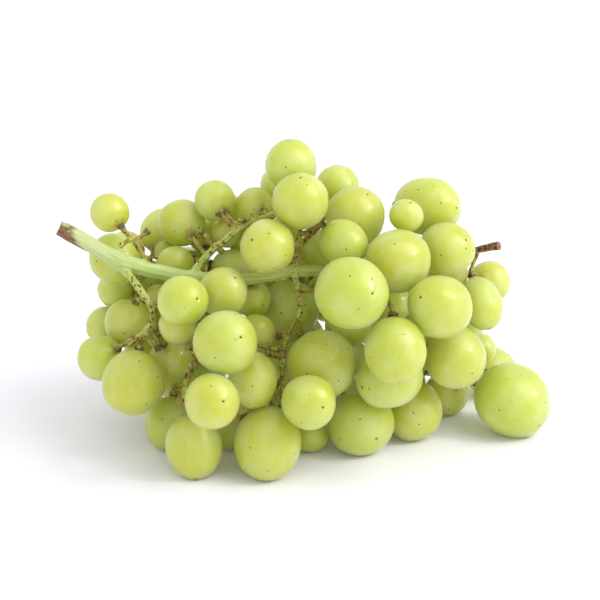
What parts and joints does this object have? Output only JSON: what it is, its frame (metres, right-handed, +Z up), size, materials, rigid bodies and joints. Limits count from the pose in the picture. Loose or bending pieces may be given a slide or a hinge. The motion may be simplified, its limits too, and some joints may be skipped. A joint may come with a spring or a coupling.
{
  "type": "bunch of grapes",
  "caption": "Bunch of white table grapes lying on its side: a branched green stem with a cut stalk and oval, bloom-covered grapes packed round it.",
  "frame": {"origin": "middle of the bunch's footprint, on the table", "axes": "+X along the bunch away from the cut stalk, -Y towards the open front, +Z up"},
  "size_m": [0.1718, 0.1192, 0.1053],
  "materials": {
    "grape_skin": "translucent yellow-green skin under a thin waxy bloom, satin",
    "stem": "green to olive-brown stem, matte, dry and brown at the cut and the bare caps"
  },
  "bodies": {
    "root": {"grape_crown_1": "grape_skin", "grape_crown_10": "grape_skin", "grape_crown_2": "grape_skin", "grape_crown_3": "grape_skin", "grape_crown_4": "grape_skin", "grape_crown_5": "grape_skin", "grape_crown_6": "grape_skin", "grape_crown_7": "grape_skin", "grape_crown_8": "grape_skin", "grape_crown_9": "grape_skin", "grape_foot_1": "grape_skin", "grape_foot_2": "grape_skin", "grape_foot_3": "grape_skin", "grape_foot_4": "grape_skin", "grape_foot_5": "grape_skin", "grape_foot_6": "grape_skin", "grape_foot_7": "grape_skin", "grape_foot_8": "grape_skin", "grape_foot_9": "grape_skin", "grape_front_1": "grape_skin", "grape_front_10": "grape_skin", "grape_front_11": "grape_skin", "grape_front_12": "grape_skin", "grape_front_13": "grape_skin", "grape_front_14": "grape_skin", "grape_front_15": "grape_skin", "grape_front_2": "grape_skin", "grape_front_3": "grape_skin", "grape_front_4": "grape_skin", "grape_front_5": "grape_skin", "grape_front_6": "grape_skin", "grape_front_7": "grape_skin", "grape_front_8": "grape_skin", "grape_front_9": "grape_skin", "grape_left_shoulder_1": "grape_skin", "grape_left_shoulder_10": "grape_skin", "grape_left_shoulder_2": "grape_skin", "grape_left_shoulder_3": "grape_skin", "grape_left_shoulder_4": "grape_skin", "grape_left_shoulder_5": "grape_skin", "grape_left_shoulder_6": "grape_skin", "grape_left_shoulder_7": "grape_skin", "grape_left_shoulder_8": "grape_skin", "grape_left_shoulder_9": "grape_skin", "grape_right_shoulder_1": "grape_skin", "grape_right_shoulder_2": "grape_skin", "grape_right_shoulder_3": "grape_skin", "grape_right_shoulder_4": "grape_skin", "grape_right_shoulder_5": "grape_skin", "grape_right_shoulder_6": "grape_skin", "grape_right_shoulder_7": "grape_skin", "grape_right_shoulder_8": "grape_skin", "grape_right_shoulder_9": "grape_skin", "grapes_far_side_1": "grape_skin", "grapes_far_side_2": "grape_skin", "grapes_far_side_3": "grape_skin", "grapes_far_side_4": "grape_skin", "grapes_far_side_5": "grape_skin", "grapes_far_side_6": "grape_skin", "stem": "stem"}
  },
  "joints": []
}
